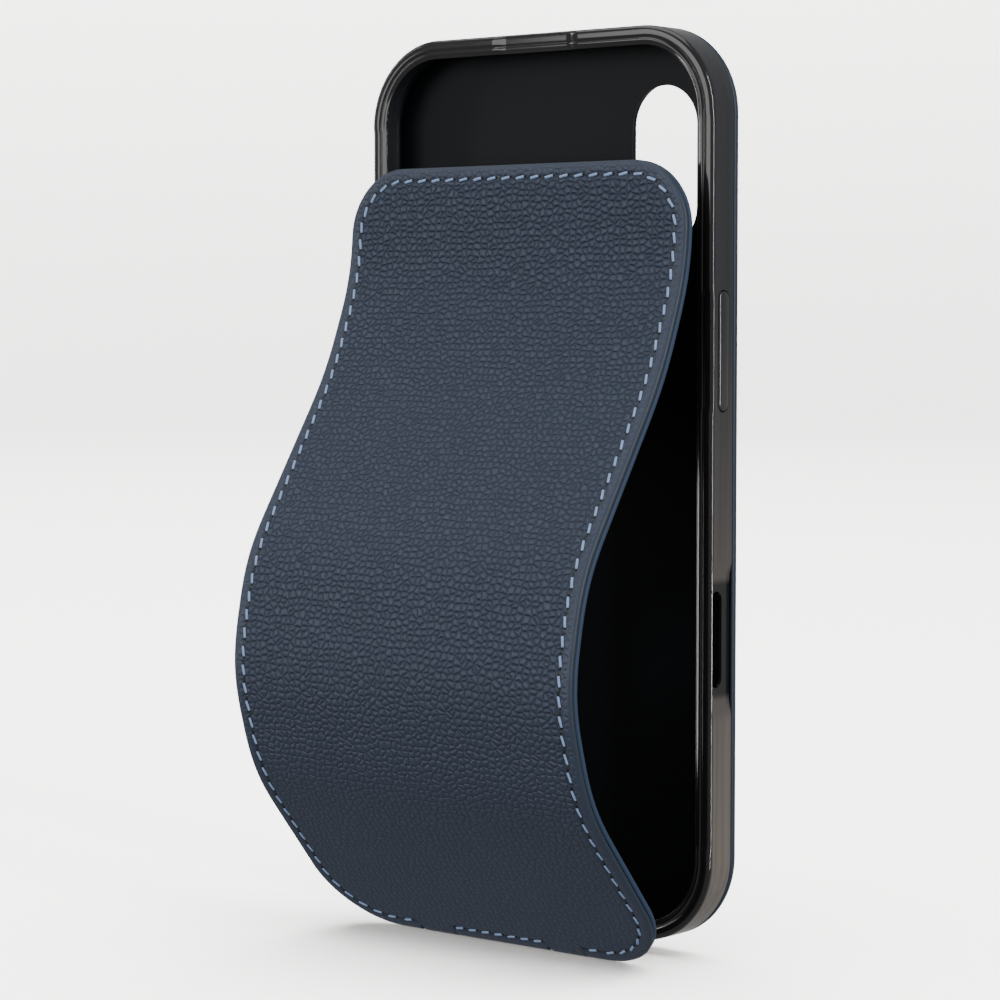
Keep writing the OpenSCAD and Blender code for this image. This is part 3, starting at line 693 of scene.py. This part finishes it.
# The leather turns through each bend over one section's length, by what closing takes out again
closing = next(j for j in frame["joints"] if j["name"] == "flap_close")["range_deg"][1]
ratios = {c["joint"]: c["ratio"] for c in frame["record"]["behaviour"]["couplings"]}
bend_at = np.array([2, 3, 4, 6, 7]) * section_len
bend_by = np.radians([ratios[f"bend_{i}"] * closing for i in range(1, 6)])
lean_at = np.full(len(steps), rise_lean)
for at, by in zip(bend_at, bend_by):
    lean_at += by * smooth_step(steps, at - section_len / 2, at + section_len / 2)
mid_lean = (lean_at[1:] + lean_at[:-1]) / 2
curve_y = np.concatenate([[0], np.cumsum(-np.sin(mid_lean) * 0.1 * MM)])
curve_z = np.concatenate([[0], np.cumsum(np.cos(mid_lean) * 0.1 * MM)])
curve_y += fold_y - np.interp(0, steps, curve_y)
curve_z += fold_z - np.interp(0, steps, curve_z)


def on_flap(x, s, out):
    """Bends the flat flap: a point at x across and s along it goes to the curve's point at s,
    then out along the curve's outward normal."""
    lean = np.interp(s, steps, lean_at)
    y = np.interp(s, steps, curve_y) - np.cos(lean) * out
    z = np.interp(s, steps, curve_z) - np.sin(lean) * out
    return np.stack([x, y, z], -1)


def from_outline(x, s):
    """Distance in from the flap's outline: to the nearer side, or to the corner's arc."""
    x = np.abs(x)
    d = np.minimum(np.minimum(half_w - x, flap_len - s), s - foot)
    top = top_r - np.hypot(np.maximum(x - half_w + top_r, 0), np.maximum(s - flap_len + top_r, 0))
    low = low_r - np.hypot(np.maximum(x - half_w + low_r, 0), np.maximum(foot + low_r - s, 0))
    d = np.where((x > half_w - top_r) & (s > flap_len - top_r), top, d)
    return np.where((x > half_w - low_r) & (s < foot + low_r), low, d)


def half_width(s):
    """Half the flap's width at s: full between the corners, the arc's chord inside them."""
    up = np.clip(s - flap_len + top_r, 0, top_r)
    down = np.clip(foot + low_r - s, 0, low_r)
    return half_w - top_r + np.sqrt(top_r**2 - up**2) - low_r + np.sqrt(low_r**2 - down**2)


near = np.array([0, 0.04, 0.12, 0.25, 0.45, 0.7, 1.0, 1.4, 1.8, 2.1, 2.4, 2.7, 3.0, 3.5, 4.2]) * MM
edges = np.array([notch_in, notch_in + 0.02 * MM, notch_out - 0.02 * MM, notch_out])


def flap_columns():
    """Places across the flap as an inset from the edge and a share of the middle's width, close
    together at the edges, with a pair of columns at each side of a notch."""
    middle = np.linspace(-half_w + 4.9 * MM, half_w - 4.9 * MM, 81)
    middle = middle[np.abs(np.abs(middle)[:, None] - edges[None]).min(1) > 0.1 * MM]
    return near, np.sort(np.concatenate([middle, edges, -edges]))


inset, middle = flap_columns()


def within_notch(x):
    """Whether a place across the flap lies between a notch's two sides."""
    return (np.abs(x) > notch_in + 0.01 * MM) & (np.abs(x) < notch_out - 0.01 * MM)


def flap_grid(rows, foot_piece):
    """Grid of flat places: each row runs from one side of the outline to the other. In the lowest
    piece the rows start higher inside the two notches where the tongues join."""
    width = half_width(rows)[:, None]
    left = -width + inset[None]
    kept = notch_out + 0.1 * MM
    shrink = (width - 4.2 * MM - kept) / (half_w - 4.2 * MM - kept)
    far = np.maximum(np.abs(middle[None]) - kept, 0)
    x = np.concatenate([left, np.sign(middle) * (np.minimum(np.abs(middle), kept) + far * shrink),
                        -left[:, ::-1]], 1)
    s = np.repeat(rows[:, None], x.shape[1], 1)
    if foot_piece:
        lift = np.where(within_notch(x), fold_tangent - foot, 0)
        s = s + lift * (rows[-1] - s) / (rows[-1] - foot)
    return x, s


def flap_layer(name, rows, foot_piece, outer, material):
    """A closed layer of the flap: an outer and an inner sheet over the same grid, which meet on
    the outline. The height falls to the outline on a quarter round, and dips along the sewing."""
    x, s = flap_grid(rows, foot_piece)
    d = from_outline(x, s)
    in_notch = foot_piece & within_notch(x) & (s < 4 * MM)
    d = np.where(in_notch, half_w, d)
    roll = 0.62 * MM if outer else 0.5 * MM
    fall = 1 - np.sqrt(np.maximum(1 - (1 - np.clip(d / roll, 0, 1)) ** 2, 0))
    sunk = 0.16 * MM * np.exp(-(((d - sew_in) / (0.4 * MM)) ** 2))
    swell = 0.05 * MM * np.exp(-(((d - 1.35 * MM) / (0.6 * MM)) ** 2))
    mid = layer_t * (0.48 if outer else -0.5)
    far = layer_t - sunk + swell if outer else np.full(d.shape, -0.03 * MM)
    close = np.full(d.shape, 0.03 * MM) if outer else -layer_t + sunk - swell
    high = far + (mid - far) * fall
    low = close + (mid - close) * fall
    border = np.zeros(x.shape, bool)
    border[:, 0] = border[:, -1] = True
    if foot_piece:
        border[0] = True
    if abs(rows[-1] - flap_len) < 1e-9:
        border[-1] = True
    high, low = np.where(border, mid, high), np.where(border, mid, low)
    top, under = on_flap(x, s, high), on_flap(x, s, low)
    n = x.size
    k = np.arange(n).reshape(x.shape)
    j = np.where(border, k, k + n)
    sheet = np.stack([k[:-1, :-1], k[:-1, 1:], k[1:, 1:], k[1:, :-1]], -1).reshape(-1, 4)
    back_sheet = np.stack([j[:-1, :-1], j[1:, :-1], j[1:, 1:], j[:-1, 1:]], -1).reshape(-1, 4)
    ends = []
    for row in (0, -1):
        if not border[row].all():
            a, b = k[row], j[row]
            strip = np.column_stack([a[:-1], a[1:], b[1:], b[:-1]])
            ends.append(strip)
    faces = [list(dict.fromkeys(f)) for f in np.concatenate([sheet, back_sheet] + ends).tolist()]
    faces = [f for f in faces if len(f) > 2]
    points = np.concatenate([top.reshape(-1, 3), under.reshape(-1, 3)])
    keep_s = s.ravel()
    uv = np.column_stack([np.tile(x.ravel(), 2) + 0.1, np.tile(keep_s, 2) + 0.1])
    soften = 0.3 + 0.7 * smooth_step(keep_s, 8 * MM, 80 * MM)
    near_edge = smooth_step(d.ravel(), 0.4 * MM, 1.0 * MM)
    past_sewing = smooth_step(d.ravel(), 2 * MM, 3.6 * MM)
    grain = soften * (0.35 * near_edge + 0.65 * past_sewing)
    paint = 1 - smooth_step(d.ravel(), 0.15 * MM, 0.6 * MM)
    # Where the painted shade along the sewing line falls.
    sewing_shade = 0.8 * np.exp(-(((d.ravel() - sew_in) / (0.3 * MM)) ** 2))
    attributes = {"grain": np.tile(grain, 2), "rim": np.tile(paint, 2), "sewing_shade": np.tile(sewing_shade, 2)}
    return piece_from(name, points, np.array(faces, dtype=object), material,
                      uv=uv, attributes=attributes, sharp=60)


def flap_rows(low, high):
    """Rows between two cuts, 1.2 mm apart, and close together at the flap's own two ends."""
    rows = np.linspace(low, high, max(int((high - low) / (1.2 * MM)), 4))
    if low < 0:
        rows = np.concatenate([foot + near, np.linspace(foot + 4.8 * MM, high, 26)])
    if abs(high - flap_len) < 1e-9:
        corner = flap_len - np.array([12, 10.5, 9, 7.7, 6.5, 5.5]) * MM
        middle_rows = [low] if low > corner[0] - 1 * MM else np.linspace(low, corner[0], 6)[:-1]
        corner = corner[corner > low + 0.3 * MM]
        corner_rows = np.concatenate([corner, flap_len - near[::-1]])
        rows = np.concatenate([middle_rows, corner_rows])
    return rows


# Places of the stitches: a row down each side, round the corners and across both ends
sewn = []
side_low, side_high = foot + low_r, flap_len - top_r
count = round((side_high - side_low) / stitch_pitch)
run = side_low + (np.arange(count) + 0.5) * (side_high - side_low) / count
for way in (-1, 1):
    sewn.append(np.column_stack([np.full(count, way * (half_w - sew_in)), run, np.zeros(count),
                                 np.ones(count)]))
for corner_s, r, way_s in ((flap_len - top_r, top_r - sew_in, 1), (foot + low_r, low_r - sew_in, -1)):
    count = max(round(r * math.pi / 2 / stitch_pitch), 2)
    a = (np.arange(count) + 0.5) * math.pi / 2 / count
    for way in (-1, 1):
        mid_x = way * (half_w - sew_in - r)
        sewn.append(np.column_stack([mid_x + way * r * np.cos(a), corner_s + way_s * r * np.sin(a),
                                     -way * way_s * np.sin(a), np.cos(a)]))
top_run = half_w - top_r
count = round(2 * top_run / stitch_pitch)
run = -top_run + (np.arange(count) + 0.5) * 2 * top_run / count
sewn.append(np.column_stack([run, np.full(count, flap_len - sew_in), np.ones(count), np.zeros(count)]))
for low_x, high_x in ((-notch_in, notch_in), (notch_out, half_w - low_r), (low_r - half_w, -notch_out)):
    count = max(round((high_x - low_x) / stitch_pitch), 1)
    run = low_x + (np.arange(count) + 0.5) * (high_x - low_x) / count
    sewn.append(np.column_stack([run, np.full(count, foot + sew_in), np.ones(count), np.zeros(count)]))
sewn = np.concatenate(sewn)

bounds_at = np.concatenate([[foot], cuts_at, [flap_len]])
number = len(cuts_at)
for i in range(number + 1):
    low, high = bounds_at[i], bounds_at[i + 1]
    rows = flap_rows(low, high)
    outer = flap_layer(f"flap_calf_{i}", rows, i == 0, True, navy_leather)
    inner = flap_layer(f"flap_lining_sheet_{i}", rows, i == 0, False, lining)
    mine = sewn[(sewn[:, 1] >= low) & (sewn[:, 1] < high)]
    flat = np.zeros(len(mine))
    seated = flat + layer_t - 0.13 * MM
    step = 0.05 * MM
    base = on_flap(mine[:, 0], mine[:, 1], seated)
    ahead = on_flap(mine[:, 0] + mine[:, 2] * step, mine[:, 1] + mine[:, 3] * step, seated)
    along = ahead - base
    along /= np.linalg.norm(along, axis=1)[:, None]
    outward = on_flap(mine[:, 0], mine[:, 1], flat + 1 * MM) - on_flap(mine[:, 0], mine[:, 1], flat)
    outward /= np.linalg.norm(outward, axis=1)[:, None]
    sewing = stitches(f"flap_stitches_{i}", base, along, outward)
    for piece, node, slot in ((outer, "flap_leather_", "navy_leather"), (inner, "flap_lining_", "lining"),
                              (sewing, "flap_thread_", "thread")):
        if i in (0, number):
            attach(piece, f"flap_{max(i, 1)}")
        else:
            start = on_flap(np.array(0.0), bend_at[i - 1] - section_len / 2, np.array(0.0))
            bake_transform(piece)
        if i < number:
            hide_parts(f"{node}{i + 1}")

# Magnets: sintered discs, nickel plated, a little brushed.
nickel, tree, shader = start_material("nickel_plate")
place = add(tree, "TexCoord")
brushed = add(tree, "Mapping", {"Vector": place.outputs["Object"], "Scale": (300, 300, 6000)})
lines = add(tree, "TexNoise", {"Vector": brushed.outputs["Vector"], "Scale": 1.0, "Detail": 3.0})
rough = add(tree, "MapRange", {"Value": lines.outputs["Fac"], "To Min": 0.22, "To Max": 0.4})
tree.links.new(rough.outputs["Result"], shader.inputs["Roughness"])
shader.inputs["Base Color"].default_value = srgb("#b9b5ac")
shader.inputs["Metallic"].default_value = 1.0
frame["nodes"]["flap_magnets"].data.materials.clear()
frame["nodes"]["flap_magnets"].data.materials.append(nickel)


# ---- Floor, light and camera ------------------------------------------------------------------
# A pale floor that sweeps up into a wall all round, lit by a broad overhead softbox, a low front
# fill and a narrow tall strip on each side that draws the rim's edges.
pale, tree, shader = start_material("pale_sweep")
place = add(tree, "TexCoord")
paper = add(tree, "TexNoise", {"Vector": place.outputs["Object"], "Scale": 900.0, "Detail": 2.0})
tone = add(tree, "Mix", {"Factor": paper.outputs["Fac"], "A": srgb("#e2e1df"), "B": srgb("#e6e5e3")},
           data_type="RGBA")
tree.links.new(tone.outputs["Result"], shader.inputs["Base Color"])
shader.inputs["Roughness"].default_value = 0.9
shader.inputs["Specular IOR Level"].default_value = 0.1
shader.inputs["Emission Color"].default_value = srgb("#f7f2ee")
shape = add(tree, "NewGeometry")
upright = add(tree, "SeparateXYZ", {0: shape.outputs["Normal"]})
glow = add(tree, "MapRange", {"Value": upright.outputs["Z"], "To Min": 6.0, "To Max": 0.2})
tree.links.new(glow.outputs["Result"], shader.inputs["Emission Strength"])
profile = np.concatenate([np.column_stack([np.linspace(0, 2.4, 12), np.zeros(12)]),
                          arc(2.4, 0.9, 0.9, -80, 0, 12), [(3.3, 2.4)]])
angle = np.linspace(0, 2 * math.pi, 97)[:-1]
sweep = np.stack([profile[:, :1] * np.cos(angle), profile[:, :1] * np.sin(angle),
                  np.repeat(profile[:, 1:], 96, 1)], -1)
quads = closed_grid(len(profile), 96)[: -96]
floor = piece_from("pale_floor", sweep.reshape(-1, 3), quads, pale, sharp=180)
floor.visible_diffuse = False
floor.visible_glossy = False
floor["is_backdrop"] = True

for name, at, target, size, power in (
    ("overhead_softbox", (-0.35, -0.1, 1.5), (0, 0, 0.08), (1.3, 1.3), 11),
    ("front_fill", (-0.5, -1.5, 0.4), (0, 0, 0.08), (1.2, 1.2), 17),
    ("right_strip", (1.3, -0.3, 0.35), (0, 0, 0.09), (0.05, 1.6), 22),
    ("left_strip", (-1.3, -0.45, 0.35), (0, 0, 0.09), (0.09, 1.4), 4),
):
    data = bpy.data.lights.new(name, "AREA")
    data.shape, data.size, data.size_y, data.energy = "RECTANGLE", size[0], size[1], power
    lamp = bpy.data.objects.new(name, data)
    lamp.location = at
    lamp.rotation_euler = (Vector(target) - Vector(at)).to_track_quat("-Z", "Y").to_euler()
    bpy.context.scene.collection.objects.link(lamp)

# The floor has its own broad light, so that it stays pale while the dark leather keeps its depth
floor_only = bpy.data.collections.new("floor_only")
floor_only.objects.link(floor)
data = bpy.data.lights.new("floor_light", "SUN")
data.energy, data.angle = 17.0, math.radians(85)
lamp = bpy.data.objects.new("floor_light", data)
lamp.rotation_euler = Vector((-0.05, -0.12, -1)).to_track_quat("-Z", "Y").to_euler()
lamp.light_linking.receiver_collection = floor_only
bpy.context.scene.collection.objects.link(lamp)

world = bpy.data.worlds.new("studio")
world.use_nodes = True
world.node_tree.nodes["Background"].inputs["Color"].default_value = srgb("#f3f3f2")
world.node_tree.nodes["Background"].inputs["Strength"].default_value = 0.42
bpy.context.scene.world = world

azimuth, pitch = math.radians(39.52), math.radians(3.45)
camera_data = bpy.data.cameras.new("camera")
camera_data.lens, camera_data.sensor_width = 109.5, 36
camera_data.clip_start, camera_data.clip_end = 0.05, 20
camera = bpy.data.objects.new("camera", camera_data)
camera.location = (0.340, face_y - 0.4217, 0.1114)
look = Vector((-math.sin(azimuth) * math.cos(pitch), math.cos(azimuth) * math.cos(pitch), -math.sin(pitch)))
camera.rotation_euler = look.to_track_quat("-Z", "Y").to_euler()
bpy.context.scene.collection.objects.link(camera)
bpy.context.scene.camera = camera

low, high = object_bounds()
